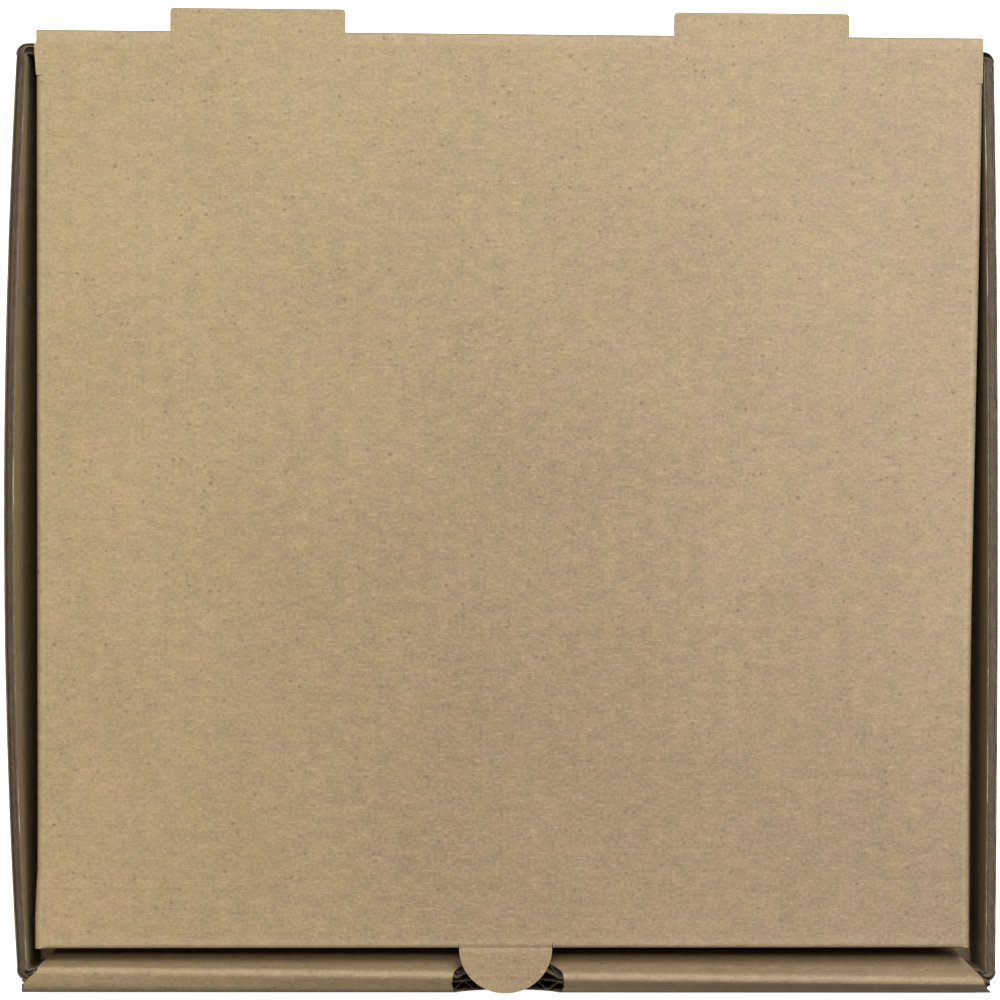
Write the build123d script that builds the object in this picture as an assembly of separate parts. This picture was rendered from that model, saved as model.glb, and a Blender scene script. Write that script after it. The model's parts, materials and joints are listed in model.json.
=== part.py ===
from build123d import *

import os
from math import atan2, cos, degrees, hypot, radians, sin

# Corrugated take-away box for a ten-inch pizza, folded from one die-cut sheet of kraft board.
#
# Frame: origin at the centre of the base's underside, +Z up, the hinge of the lid at +Y, the
# thumb tab at -Y, +X to the right of someone facing the thumb tab. All sizes in millimetres.
#
# Two nodes, because the sheet works as two rigid halves about the hinge crease:
#   tray  base, rear wall, bowed side walls with their corner flaps, rolled-over front wall
#   lid   top panel, side flaps, front flap, thumb tab, two rear tabs

# Overall
box_width = 256.4        # over the side walls, at the corners
box_depth = 251.6        # rear face to front face
box_height = 44.5        # underside to the top of the closed lid, where the hinge line is

# The board and how it folds
board = 3.0              # B-flute board, liner to liner
bend_inside = 0.6        # radius inside a fold
layer_gap = 0.3          # air between layers that lie together
crease_gap = 0.3         # clearance between tray and lid along the hinge crease
die_gap = 0.6            # clearance round a tab that swings through its own cut-out
floor_gap = 0.4          # between the base and whatever stands loose on it

# Tray walls
front_wall_drop = 1.2    # top of the rolled-over wall, below the top of the lid
side_wall_drop = 2.0     # top edge of the side walls, below the top of the lid
left_bow = 3.6           # how far the middle of each side wall's top edge bows out
right_bow = 0.9
front_wall_inset = 1.4   # ends of the front wall, in from the side walls' outer faces
roll_mitre = 6.6         # ends of the rolled-over panel, in from the ends of the front wall

# Corner flaps, on the ends of the side walls
lid_rest_gap = 0.5       # between the rear flaps and the closed lid
rear_flap_stop = 3.0     # between a flap's end and the rear tab's cut-out
front_flap_reach = 45.0  # from the corner fold inwards
flap_chamfer = 9.0

# Lock tabs of the rolled-over panel, in slots through the base
lock_tab_width = 46.0
lock_tab_spacing = 126.0
lock_tab_tip = 0.4       # height of a tab's end above the underside
slot_clearance = 0.25

# Lid
lid_side_gap = 0.9       # between lid and side wall at the hinge
lid_taper = 2.0          # how far each side of the lid comes in towards the front
lid_front_gap = 1.8      # between the lid's front edge and the rolled-over wall
side_flap_setback = 12.0     # hinge line to the rear end of a side flap
side_flap_front = 6.0        # lid's front edge to the front end of a side flap
side_flap_slant = 16.0       # how far the ends of a side flap slope in
lid_flap_gap = 1.8           # between the front flap's ends and the side flaps
lid_flap_drop = 36.0         # height of the front flap
lid_flap_lean = 3.0          # degrees that the front flap leans in, to swing out freely
lid_flap_chamfer = 10.0
thumb_tab_radius = 13.0
thumb_notch_gap = 1.5        # between the thumb tab and the notch in the front wall

# Rear tabs, cut from the rear wall and left in the plane of the lid
rear_tab_width = 46.0
rear_tab_length = 6.0
rear_tab_spacing = 132.3
rear_tab_corner = 1.0

# Places that follow from the sizes above
bend_outside = bend_inside + board
fold_length = bend_outside * radians(90)                 # outer liner taken up by one fold
beyond = 2 * max(box_width, box_depth, box_height)       # past every face of the box
side_face = box_width / 2
rear_face = box_depth / 2
front_face = -box_depth / 2
rolled_face = front_face + 3 * board + 2 * layer_gap     # inner face of the rolled-over wall
rear_flap_face = rear_face - board - layer_gap           # rear face of the rear corner flaps
front_flap_face = front_face + board + layer_gap         # front face of the front corner flaps
front_wall_top = box_height - front_wall_drop
side_wall_top = box_height - side_wall_drop
rear_flap_top = box_height - board - lid_rest_gap
front_flap_top = front_wall_top - board - layer_gap
front_wall_end = side_face - front_wall_inset
rolled_panel_end = front_wall_end - roll_mitre
fold_line = side_face - bend_outside                     # where the base meets a side fold
lid_rear_edge = side_face - board - lid_side_gap         # half the lid's width at the hinge
lid_front_edge = lid_rear_edge - lid_taper               # half the lid's width at the front
lid_front = rolled_face + lid_front_gap
lid_depth = rear_face - lid_front
lid_flap_end = lid_front_edge - board - lid_flap_gap     # half the width of the front flap


def offset_inside(path):
    """Points of a path moved one board thickness to the right of its direction of travel."""
    points = [Vector(*p) for p in path]
    normals = []
    for here, there in zip(points, points[1:]):
        step = (there - here).normalized()
        normals.append(Vector(step.Y, -step.X))
    moved = [points[0] + normals[0] * board]
    for point, before, after in zip(points[1:], normals, normals[1:]):
        moved.append(point + (before + after) * (board / (1 + before.dot(after))))
    moved.append(points[-1] + normals[-1] * board)
    return moved


def folded_section(path):
    """Section of board whose outer liner follows the path, with its inside on the right."""
    inside_path = offset_inside(path)
    outside = FilletPolyline(*path, radius=bend_outside)
    inside = FilletPolyline(*inside_path, radius=bend_inside)
    ends = Line(path[0], inside_path[0]) + Line(path[-1], inside_path[-1])
    return make_face(outside + inside + ends)


def quarter_fold():
    """Section of a right-angle fold, centred on the bend's axis, in the +X +Y quarter."""
    ring = Circle(bend_outside) - Circle(bend_inside)
    return ring & Rectangle(bend_outside, bend_outside, align=(Align.MIN, Align.MIN))


def block(x, y, z):
    """Box between the given (low, high) pairs."""
    size = [high - low for low, high in (x, y, z)]
    return Pos(x[0], y[0], z[0]) * Box(*size, align=(Align.MIN, Align.MIN, Align.MIN))


def prism(plane, corners, depth=beyond):
    """Body with the given outline in a plane, reaching the same depth to both sides of it."""
    return extrude(plane * make_face(Polyline(*corners, close=True)), depth, both=True)


def hinge_waste(side):
    """Board past the crease's mitre: on the lid's side (side=1) or the tray's side (side=-1)."""
    along = Vector(-1, -1).normalized() * beyond
    across = Vector(-1, 1).normalized() * side
    start = Vector(rear_face, box_height) - across * (crease_gap / 2)
    corners = [start - along, start + along]
    corners += [corner + across * beyond for corner in reversed(corners)]
    near_hinge = block((-beyond, beyond), (rear_face - bend_outside, beyond), (0, beyond))
    return prism(Plane.YZ, corners) & near_hinge


def rear_tab_spans(clearance=0):
    """(low, high) along X of the two rear tabs, widened by a clearance on each side."""
    half = rear_tab_width / 2 + clearance
    return [(x - half, x + half) for x in (-rear_tab_spacing / 2, rear_tab_spacing / 2)]


def tray_column():
    """Rear wall, base and rolled-over front wall, as one folded strip."""
    path = [
        (rear_face, box_height),
        (rear_face, 0),
        (front_face, 0),
        (front_face, front_wall_top),
        (rolled_face, front_wall_top),
        (rolled_face, board + floor_gap),
    ]
    column = extrude(Plane.YZ * folded_section(path), front_wall_end, both=True)
    outline = [
        (lid_rear_edge, rear_face),
        (lid_rear_edge, rear_face - bend_outside),
        (fold_line, rear_face - bend_outside),
        (fold_line, front_face + bend_outside),
        (front_wall_end, front_face + bend_outside),
        (front_wall_end, front_face),
    ]
    outline += [(-x, y) for x, y in reversed(outline)]
    column &= prism(Plane.XY, outline)
    mitre = [
        (front_wall_end, front_face + board),
        (rolled_panel_end, rolled_face),
        (rolled_panel_end, rolled_face + board),
        (beyond, rolled_face + board),
        (beyond, front_face + board),
    ]
    above_base = block((-beyond, beyond), (front_face, rear_face), (bend_outside, beyond))
    waste = prism(Plane.XY, mitre) & above_base
    return column - waste - mirror(waste, Plane.YZ)


def side_wall(bow):
    """Right-hand side wall: fold along the base, and a panel whose top edge bows out."""
    half = (rear_flap_face - front_flap_face) / 2 - bend_outside
    middle = (rear_flap_face + front_flap_face) / 2
    turn = mirror(quarter_fold(), Plane.XZ)
    fold = extrude(Plane.XZ * Pos(fold_line, bend_outside) * turn, half, both=True)
    foot = Pos(side_face - board / 2, 0, bend_outside) * Rectangle(board, 2 * half)
    inner = side_face - board
    rim = ThreePointArc((inner, -half), (inner + bow, 0), (inner, half))
    rim += ThreePointArc((side_face, -half), (side_face + bow, 0), (side_face, half))
    rim += Line((inner, -half), (side_face, -half)) + Line((inner, half), (side_face, half))
    panel = loft([foot, Pos(0, 0, side_wall_top) * make_face(rim)], ruled=True)
    return Pos(0, middle, 0) * (fold + panel)


def corner_flap(face, inward, end, top):
    """Right-hand corner fold and flap.

    The flap's outer liner lies on y = face, its board is on the inward side (-1 or 1) of that,
    and it reaches from the corner fold to x = end.
    """
    bottom = board + floor_gap
    turn = quarter_fold() if inward < 0 else mirror(quarter_fold(), Plane.XZ)
    fold = extrude(Pos(fold_line, face + inward * bend_outside, bottom) * turn, top - bottom)
    across = sorted((face, face + inward * board))
    flap = block((end, fold_line), across, (bottom, top))
    free_corners = flap.edges().filter_by(Axis.Y).group_by(Axis.X)[0]
    return fold + chamfer(free_corners, min(flap_chamfer, (fold_line - end) / 2))


def lock_tab_cuts(x):
    """One lock tab, centred on x, and the slot in the base that it stands in."""
    half = lock_tab_width / 2
    inner = rolled_face - board
    tab = block((x - half, x + half), (inner, rolled_face), (lock_tab_tip, board + floor_gap))
    half += slot_clearance
    across = (inner - slot_clearance, rolled_face + slot_clearance)
    slot = block((x - half, x + half), across, (-board, board + floor_gap / 2))
    return tab, slot


def make_tray():
    """The lower half of the box, as one folded solid."""
    tray = tray_column() - hinge_waste(side=1)
    # The rear tabs leave notches, deep enough for the tabs' far corners to swing through.
    notch_floor = box_height - hypot(rear_tab_length, board) - die_gap
    for span in rear_tab_spans(die_gap):
        tray -= block(span, (rear_face - bend_outside, beyond), (notch_floor, beyond))
    # One round hole across the roll leaves the same notch in both of its layers.
    notch = Cylinder(thumb_tab_radius + thumb_notch_gap, 2 * (rolled_face - front_face))
    tray -= Pos(0, front_face, front_wall_top) * (Plane.XZ * notch)
    for x in (-lock_tab_spacing / 2, lock_tab_spacing / 2):
        tab, slot = lock_tab_cuts(x)
        tray = tray - slot + tab
    rear_flap_end = rear_tab_spans(die_gap)[1][1] + rear_flap_stop
    for bow, on_left in ((right_bow, False), (left_bow, True)):
        side = side_wall(bow)
        side += corner_flap(rear_flap_face, -1, rear_flap_end, rear_flap_top)
        side += corner_flap(front_flap_face, 1, fold_line - front_flap_reach, front_flap_top)
        tray += mirror(side, Plane.YZ) if on_left else side
    return tray


def lid_side_flap():
    """Right-hand side flap with its fold, along a crease that comes in towards the front."""
    path = [(-2 * bend_outside, box_height), (0, box_height), (0, board + floor_gap)]
    flap = extrude(Plane.XZ * folded_section(path), lid_depth)
    # Both ends are cut square through the fold and then slope in towards the bottom edge.
    shoulder = box_height - bend_outside
    for end, outward in ((-side_flap_setback, 1), (side_flap_front - lid_depth, -1)):
        past = end + outward * beyond
        slope_end = end - outward * side_flap_slant
        waste = [(end, box_height), (end, shoulder), (slope_end, 0), (past, 0), (past, box_height)]
        flap -= prism(Plane.YZ, waste)
    taper_angle = degrees(atan2(lid_taper, lid_depth))
    return Pos(lid_rear_edge, rear_face, 0) * Rot(0, 0, -taper_angle) * flap


def lid_front_flap():
    """Front flap with its fold, its lower corners cut off, and the hole its thumb tab leaves."""
    lean = radians(lid_flap_lean)
    foot = (lid_front + lid_flap_drop * sin(lean), box_height - lid_flap_drop * cos(lean))
    path = [foot, (lid_front, box_height), (lid_front + 2 * bend_outside, box_height)]
    flap = extrude(Plane.YZ * folded_section(path), lid_flap_end, both=True)
    low = box_height - lid_flap_drop - board
    corner = [
        (lid_flap_end, low),
        (lid_flap_end - lid_flap_chamfer - board, low),
        (lid_flap_end, low + lid_flap_chamfer + board),
    ]
    corner = prism(Plane.XZ, corner)
    flap = flap - corner - mirror(corner, Plane.YZ)
    hole_height = box_height - bend_outside + fold_length / 2
    hole = Cylinder(thumb_tab_radius, 4 * bend_outside)
    return flap - Pos(0, lid_front, hole_height) * (Plane.XZ * hole)


def thumb_tab():
    """Half disc left in the plane of the lid, centred on the middle of the front crease."""
    underside = box_height - board
    fold_start = lid_front + bend_outside
    crease_middle = fold_start - fold_length / 2
    low = (Align.CENTER, Align.CENTER, Align.MIN)
    disc = Pos(0, crease_middle, underside) * Cylinder(thumb_tab_radius, board, align=low)
    disc &= block((-beyond, beyond), (-beyond, crease_middle), (0, beyond))
    across = (-thumb_tab_radius, thumb_tab_radius)
    return disc + block(across, (crease_middle, fold_start), (underside, box_height))


def make_lid():
    """The upper half of the box, closed, as one folded solid."""
    underside = box_height - board
    corner_y = rear_face - side_flap_setback
    fold_start = lid_front + bend_outside
    panel = [
        (lid_rear_edge, rear_face),
        (lid_rear_edge, corner_y),
        (lid_rear_edge - bend_outside, corner_y),
        (lid_front_edge - bend_outside, fold_start),
    ]
    panel += [(-x, y) for x, y in reversed(panel)]
    lid = Pos(0, 0, underside) * extrude(make_face(Polyline(*panel, close=True)), board)
    side = lid_side_flap()
    lid = lid + side + mirror(side, Plane.YZ) + lid_front_flap() + thumb_tab()
    lid -= hinge_waste(side=-1)
    for span in rear_tab_spans():
        # Each tab runs into the lid by the width of a fold, past the mitre of the crease.
        along = (rear_face - bend_outside, rear_face + rear_tab_length)
        tab = block(span, along, (underside, box_height))
        far_corners = tab.edges().filter_by(Axis.Z).group_by(Axis.Y)[-1]
        lid += fillet(far_corners, rear_tab_corner)
    return lid


os.makedirs("parts", exist_ok=True)
export_step(make_tray(), "parts/tray.step")
export_step(make_lid(), "parts/lid.step")
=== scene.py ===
"""Kraft pizza box, folded from one corrugated sheet and built as board with real flutes."""

from __future__ import annotations

import json
import logging
import math
from dataclasses import dataclass, field
from enum import Enum
from functools import cached_property, lru_cache, reduce
from typing import Callable, Iterable, Sequence

import bmesh
import bpy
from mathutils import Matrix, Vector, noise

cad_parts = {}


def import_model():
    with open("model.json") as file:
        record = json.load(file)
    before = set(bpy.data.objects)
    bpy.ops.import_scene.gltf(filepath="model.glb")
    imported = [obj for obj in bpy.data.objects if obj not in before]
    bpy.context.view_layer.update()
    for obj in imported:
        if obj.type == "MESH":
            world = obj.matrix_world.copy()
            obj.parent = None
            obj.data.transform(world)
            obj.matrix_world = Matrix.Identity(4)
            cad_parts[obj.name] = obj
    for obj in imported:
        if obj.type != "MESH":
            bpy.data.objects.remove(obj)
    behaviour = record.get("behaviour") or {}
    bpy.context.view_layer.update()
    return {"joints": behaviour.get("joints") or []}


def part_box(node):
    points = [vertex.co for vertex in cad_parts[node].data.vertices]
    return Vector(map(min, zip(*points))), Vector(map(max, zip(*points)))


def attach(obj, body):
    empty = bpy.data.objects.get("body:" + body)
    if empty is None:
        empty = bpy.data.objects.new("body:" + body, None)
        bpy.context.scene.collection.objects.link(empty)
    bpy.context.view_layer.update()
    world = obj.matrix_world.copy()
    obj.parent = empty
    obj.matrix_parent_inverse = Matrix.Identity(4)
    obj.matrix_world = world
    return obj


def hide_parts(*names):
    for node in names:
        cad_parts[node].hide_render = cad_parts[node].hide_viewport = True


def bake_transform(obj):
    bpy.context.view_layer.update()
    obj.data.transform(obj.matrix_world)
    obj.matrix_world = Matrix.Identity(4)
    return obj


MM = 0.001
MERGE_DISTANCE = 0.01 * MM
ON_LINE_DISTANCE = 0.001 * MM
FACING = 0.7  # a face with more of its normal than this along an axis faces that way
FOLD_STEPS = 6
SETTLING_ROUNDS = 8
PLACE_DIGITS = 5  # sections are kept and used again for places that round to the same value
Outline = list[tuple[float, float]]
Triple = tuple[float, float, float]
log = logging.getLogger("pizza_box")


class Finish(Enum):
    """Material slots of a piece of board."""

    LINER = 0
    EDGE = 1
    MEDIUM = 2


class Cut(Enum):
    """What other bodies do to a body."""

    JOIN = "UNION"
    KEEP = "INTERSECT"
    REMOVE = "DIFFERENCE"


@dataclass(frozen=True)
class Board:
    """B-flute board: two flat liners with a waved medium between them."""

    thickness: float = 3.0 * MM
    liner: float = 0.3 * MM
    medium: float = 0.2 * MM
    pitch: float = 6.35 * MM
    steps_per_flute: int = 8

    def wave_depth(self, across: float) -> float:
        """Depth of the medium's middle at a place across the flutes."""
        swing = self.thickness / 2 - self.liner - self.medium / 2
        return self.thickness / 2 + swing * math.sin(math.tau * across / self.pitch)


def smoothstep(value: float) -> float:
    """Smooth rise from 0 to 1 as value goes from 0 to 1."""
    value = min(max(value, 0.0), 1.0)
    return value * value * (3 - 2 * value)


def blend(low: float, high: float, share: float) -> float:
    """Value the given share of the way from low to high."""
    return low + (high - low) * share


def on_side(pair: tuple[float, float], x: float) -> float:
    """The left or the right size of a pair, by the side of the middle that x is on."""
    return pair[0] if x < 0 else pair[1]


# ---------------------------------------------------------------------------------------------
# Folding
# ---------------------------------------------------------------------------------------------


@dataclass(frozen=True)
class Run:
    """One stretch of a folded path: straight where turn is 0, else a round fold."""

    start: float
    length: float
    origin: Vector
    heading: float
    turn: float
    radius: float


class FoldedPath:
    """Section line of the outer liner: straight runs with a round fold at each inner corner.

    Distances along it are those of the flat sheet. Depth is measured from the outer liner
    towards the left of the direction of travel, which is the inside of every fold.
    """

    RAMP = 2.4 * MM
    RAMP_LINES = (0.2, 0.6, 1.0)
    INNER_RADIUS = 0.25 * MM
    FULL_TURN = 0.6

    def __init__(self, corners: Sequence[tuple[float, float]], radii: Sequence[float]) -> None:
        """Lays out the runs.

        Args:
            corners: the path's end, its corners and its other end, as (along, depth).
            radii: outer radius of the fold at each inner corner.
        """
        self.runs: list[Run] = []
        points = [Vector(corner) for corner in corners]
        place, distance, trim_before = points[0], 0.0, 0.0
        for index in range(len(points) - 1):
            step = points[index + 1] - points[index]
            heading = math.atan2(step.y, step.x)
            turn, radius = 0.0, 0.0
            if index + 2 < len(points):
                following = points[index + 2] - points[index + 1]
                turn = (math.atan2(following.y, following.x) - heading) % math.tau
                radius = radii[index]
            trim_after = radius * math.tan(turn / 2)
            length = step.length - trim_before - trim_after
            self.runs.append(Run(distance, length, place, heading, 0.0, 0.0))
            distance += length
            place = place + Vector((math.cos(heading), math.sin(heading))) * length
            if turn:
                self.runs.append(Run(distance, radius * turn, place, heading, turn, radius))
                distance += radius * turn
                place = points[index + 1] + following.normalized() * trim_after
            trim_before = trim_after
        self.length = distance

    def at(self, distance: float, depth: float) -> Vector:
        """Finds a point of the folded board.

        Args:
            distance: place along the flat sheet.
            depth: how far inside the outer liner.

        Returns:
            The point, as (along, depth) of the path's own plane.
        """
        run = self.runs[0]
        for candidate in self.runs:
            if candidate.start <= distance:
                run = candidate
        ahead = distance - run.start
        heading = run.heading + (ahead / run.radius if run.turn else 0.0)
        inward = Vector((-math.sin(heading), math.cos(heading)))
        if not run.turn:
            onward = Vector((math.cos(heading), math.sin(heading)))
            return run.origin + onward * ahead + inward * depth
        first_inward = Vector((-math.sin(run.heading), math.cos(run.heading)))
        centre = run.origin + first_inward * run.radius
        return centre - inward * (run.radius - depth)

    def station(self, fold: int, offset: float) -> float:
        """Finds a place on a straight run by its distance from a sharp corner.

        Args:
            fold: which corner, counted from 0.
            offset: distance past the sharp corner, or before it where negative.

        Returns:
            Distance along the flat sheet.
        """
        bend = [run for run in self.runs if run.turn][fold]
        trim = bend.radius * math.tan(bend.turn / 2)
        if offset < 0:
            return bend.start + trim + offset
        return bend.start + bend.length + offset - trim

    def nearness(self, fold: Run, distance: float) -> float:
        """How near a place is to one fold: 1 on a sharp fold, falling to 0 a little way off."""
        gap = max(fold.start - distance, distance - fold.start - fold.length, 0.0)
        return (1 - smoothstep(gap / self.RAMP)) * min(1.0, fold.turn / self.FULL_TURN)

    def closeness(self, distance: float) -> float:
        """How near a place is to the nearest fold."""
        return max(self.nearness(run, distance) for run in self.runs if run.turn)

    def squeeze(self, distance: float, board: Board) -> float:
        """Finds how far the board is squeezed where it is scored.

        Args:
            distance: place along the flat sheet.
            board: the board that is folded.

        Returns:
            The share of its thickness that is left there.
        """
        left = 1.0
        for run in self.runs:
            if run.turn:
                scored = min(1.0, (run.radius - self.INNER_RADIUS) / board.thickness)
                left = min(left, blend(1.0, scored, self.nearness(run, distance)))
        return left

    def score_lines(self, steps: int) -> list[float]:
        """Finds where the flat sheet is divided so that its folds come out round.

        Args:
            steps: how many straight bits stand for each fold.

        Returns:
            Distances along the flat sheet, in order.
        """
        lines: list[float] = []
        for run in self.runs:
            if run.turn:
                lines += [run.start + run.length * step / steps for step in range(steps + 1)]
                for gap in self.RAMP_LINES:
                    lines += [run.start - gap * self.RAMP, run.start + run.length + gap * self.RAMP]
        return sorted(lines)


# ---------------------------------------------------------------------------------------------
# Flat sheet
# ---------------------------------------------------------------------------------------------


def arc(centre: tuple[float, float], radius: float, start: float, end: float, steps: int) -> Outline:
    """Points of a round stretch of an outline.

    Args:
        centre: middle of the circle.
        radius: its radius.
        start: first point's angle in degrees.
        end: last point's angle in degrees.
        steps: how many straight bits stand for the arc.

    Returns:
        The points, first and last included.
    """
    angles = [math.radians(blend(start, end, step / steps)) for step in range(steps + 1)]
    return [(centre[0] + radius * math.cos(a), centre[1] + radius * math.sin(a)) for a in angles]


def circle(centre: tuple[float, float], radius: float, corners: int = 40) -> Outline:
    """Outline of a whole circle."""
    return arc(centre, radius, 0, 360 - 360 / corners, corners - 1)


def rectangle(x: tuple[float, float], y: tuple[float, float]) -> Outline:
    """Outline of a rectangle between (low, high) pairs."""
    return [(x[0], y[0]), (x[1], y[0]), (x[1], y[1]), (x[0], y[1])]


def mirrored(outline: Outline) -> Outline:
    """The same outline on the other side of the box."""
    return [(-x, y) for x, y in reversed(outline)]


def single_fold(face: float, height: float, radius: float) -> FoldedPath:
    """Section of a level panel from the middle out, and a wall that stands at its end."""
    return FoldedPath([(0.0, 0.0), (face, 0.0), (face, height)], [radius])


def new_object(name: str, shape: bmesh.types.BMesh) -> bpy.types.Object:
    """Turns a bmesh into a linked object and frees it.

    Args:
        name: the object's name.
        shape: the finished bmesh.

    Returns:
        The new object, at the origin.
    """
    mesh = bpy.data.meshes.new(name)
    shape.to_mesh(mesh)
    shape.free()
    obj = bpy.data.objects.new(name, mesh)
    bpy.context.scene.collection.objects.link(obj)
    return obj


def thicken(
    shape: bmesh.types.BMesh, faces: Iterable[bmesh.types.BMFace], offset: Triple
) -> None:
    """Extrudes faces into a closed body.

    Args:
        shape: the bmesh that they are in.
        faces: the faces.
        offset: how far and which way they go.
    """
    raised = bmesh.ops.extrude_face_region(shape, geom=list(faces))
    moved = [item for item in raised["geom"] if isinstance(item, bmesh.types.BMVert)]
    bmesh.ops.translate(shape, verts=moved, vec=offset)


def prism(outline: Outline, low: float, high: float) -> bpy.types.Object:
    """Upright body with the given outline.

    Args:
        outline: corners in order.
        low: height of its underside.
        high: height of its top.

    Returns:
        A closed object.
    """
    shape = bmesh.new()
    corners = [shape.verts.new((x, y, low)) for x, y in outline]
    thicken(shape, [shape.faces.new(corners)], (0, 0, high - low))
    bmesh.ops.recalc_face_normals(shape, faces=shape.faces)
    return new_object("cutter", shape)


def combine(target: bpy.types.Object, tools: Iterable[bpy.types.Object], cut: Cut) -> None:
    """Applies boolean operations to an object's mesh.

    Args:
        target: the object that changes.
        tools: the bodies that are added, kept or taken away.
        cut: which of these.
    """
    for tool in tools:
        modifier = target.modifiers.new("cut", "BOOLEAN")
        modifier.operation = cut.value
        modifier.solver = "EXACT"
        modifier.object = tool
    depsgraph = bpy.context.evaluated_depsgraph_get()
    result = bpy.data.meshes.new_from_object(target.evaluated_get(depsgraph))
    target.modifiers.clear()
    target.data = result


@dataclass
class Blank:
    """Flat die-cut sheet: x and y lie in it, and z is the depth from the outer liner."""

    board: Board
    parts: list[Outline] = field(default_factory=list)
    holes: list[Outline] = field(default_factory=list)

    def layer(self, low: float, high: float) -> bpy.types.Object:
        """Plain rectangle of liner between two depths, as large as the whole sheet."""
        x, y = self.extent()
        return prism(rectangle(x, y), low, high)

    def wave(self) -> bpy.types.Object:
        """Makes the waved medium, as large as the whole sheet.

        Returns:
            A closed object.
        """
        (left, right), (front, rear) = self.extent()
        flutes = math.ceil((right - left) / self.board.pitch)
        steps = flutes * self.board.steps_per_flute
        shape = bmesh.new()
        bmesh.ops.create_grid(shape, x_segments=steps, y_segments=1, size=0.5)
        width = flutes * self.board.pitch
        for vert in shape.verts:
            vert.co.x = (left + right) / 2 + vert.co.x * width
            vert.co.y = (front + rear) / 2 + vert.co.y * (rear - front)
            vert.co.z = self.board.wave_depth(vert.co.x) - self.board.medium / 2
        thicken(shape, shape.faces, (0, 0, self.board.medium))
        bmesh.ops.recalc_face_normals(shape, faces=shape.faces)
        return new_object("wave", shape)

    def extent(self) -> tuple[tuple[float, float], tuple[float, float]]:
        """Finds the room that the whole sheet takes.

        Returns:
            (low, high) along x and along y, with room to spare.
        """
        spare = 2 * self.board.pitch
        xs = [x for part in self.parts for x, _ in part]
        ys = [y for part in self.parts for _, y in part]
        return (min(xs) - spare, max(xs) + spare), (min(ys) - spare, max(ys) + spare)

    def build(self) -> bmesh.types.BMesh:
        """Cuts the three layers to the sheet's outline.

        Returns:
            One bmesh of closed shells, with the finish of each face as its material.
        """
        reach = self.board.thickness
        keep = [prism(part, -reach, 2 * reach) for part in self.parts]
        holes = [prism(hole, -2 * reach, 3 * reach) for hole in self.holes]
        combine(keep[0], keep[1:], Cut.JOIN)
        inner = self.board.thickness - self.board.liner
        layers = [
            self.layer(0.0, self.board.liner),
            self.layer(inner, self.board.thickness),
            self.wave(),
        ]
        sheet = bmesh.new()
        for layer in layers:
            waved = layer is layers[-1]
            combine(layer, [keep[0]], Cut.KEEP)
            combine(layer, holes, Cut.REMOVE)
            first = len(sheet.faces)
            sheet.from_mesh(layer.data)
            sheet.faces.ensure_lookup_table()
            for face in sheet.faces[first:]:
                flat = abs(face.normal.z) > FACING
                plain = Finish.LINER if flat else Finish.EDGE
                face.material_index = (Finish.MEDIUM if waved else plain).value
        for helper in keep + holes + layers:
            bpy.data.objects.remove(helper)
        bmesh.ops.dissolve_degenerate(sheet, edges=sheet.edges, dist=MERGE_DISTANCE)
        return sheet


def divide(
    sheet: bmesh.types.BMesh,
    across: Vector,
    distances: Iterable[float],
    where: Callable[[Vector], bool] = lambda centre: True,
) -> None:
    """Divides a sheet's faces along parallel lines.

    Args:
        sheet: the flat sheet.
        across: unit direction that the lines are spaced along.
        distances: where the lines are, along that direction.
        where: tells by its centre whether a face takes part.
    """
    faces = [face for face in sheet.faces if where(face.calc_center_median())]
    edges = dict.fromkeys(edge for face in faces for edge in face.edges)
    verts = dict.fromkeys(vert for face in faces for vert in face.verts)
    geometry = [*faces, *edges, *verts]
    for distance in distances:
        cut = bmesh.ops.bisect_plane(
            sheet, geom=geometry, dist=ON_LINE_DISTANCE, plane_co=across * distance, plane_no=across
        )
        geometry = cut["geom"]


def fold_sheet(
    sheet: bmesh.types.BMesh, place: Callable[[Vector], tuple[Vector, float]], turned: bool
) -> None:
    """Moves a flat sheet's vertices to their folded places.

    The flat place is kept as the UV map "sheet", and nearness to a fold as the attribute
    "crease".

    Args:
        sheet: the flat sheet.
        place: gives a flat point's folded place and its nearness to a fold.
        turned: whether the folded sheet lies with its outer liner up.
    """
    sheet_map = sheet.loops.layers.uv.new("sheet")
    crease = sheet.verts.layers.float.new("crease")
    for face in sheet.faces:
        for loop in face.loops:
            loop[sheet_map].uv = loop.vert.co.xy
    for vert in sheet.verts:
        vert.co, vert[crease] = place(vert.co.copy())
    if turned:
        bmesh.ops.reverse_faces(sheet, faces=sheet.faces)


@dataclass(frozen=True)
class Rack:
    """How far forward each corner of a box out of square has come, as (left, right) pairs."""

    rear: float
    depth: float
    half_width: float
    front_ends: tuple[float, float]
    rear_ends: tuple[float, float] = (-0.6 * MM, 0.6 * MM)

    def moved(self, place: Vector) -> Vector:
        """Moves a point with its part of the box.

        Args:
            place: the point.

        Returns:
            The point, moved forward by its share.
        """
        toward_front = min(max((self.rear - place.y) / self.depth, 0.0), 1.0)
        across = (place.x / self.half_width + 1) / 2
        forward = blend(blend(*self.rear_ends, across), blend(*self.front_ends, across), toward_front)
        return place - Vector((0.0, forward, 0.0))


def spaced(low: float, high: float, step: float) -> list[float]:
    """Evenly spaced values from low to high, about a step apart."""
    count = max(1, round((high - low) / step))
    return [blend(low, high, index / count) for index in range(count + 1)]


def ragged(place: Vector, scale: float, size: float) -> float:
    """Smooth random offset of at most about the given size, repeating the same every run."""
    return noise.noise(place / scale) * size


def smooth(piece: bpy.types.Object, sharp_from: float) -> None:
    """Shades a piece smooth, apart from edges sharper than an angle in degrees."""
    piece.data.polygons.foreach_set("use_smooth", [True] * len(piece.data.polygons))
    piece.data.set_sharp_from_angle(angle=math.radians(sharp_from))


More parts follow.
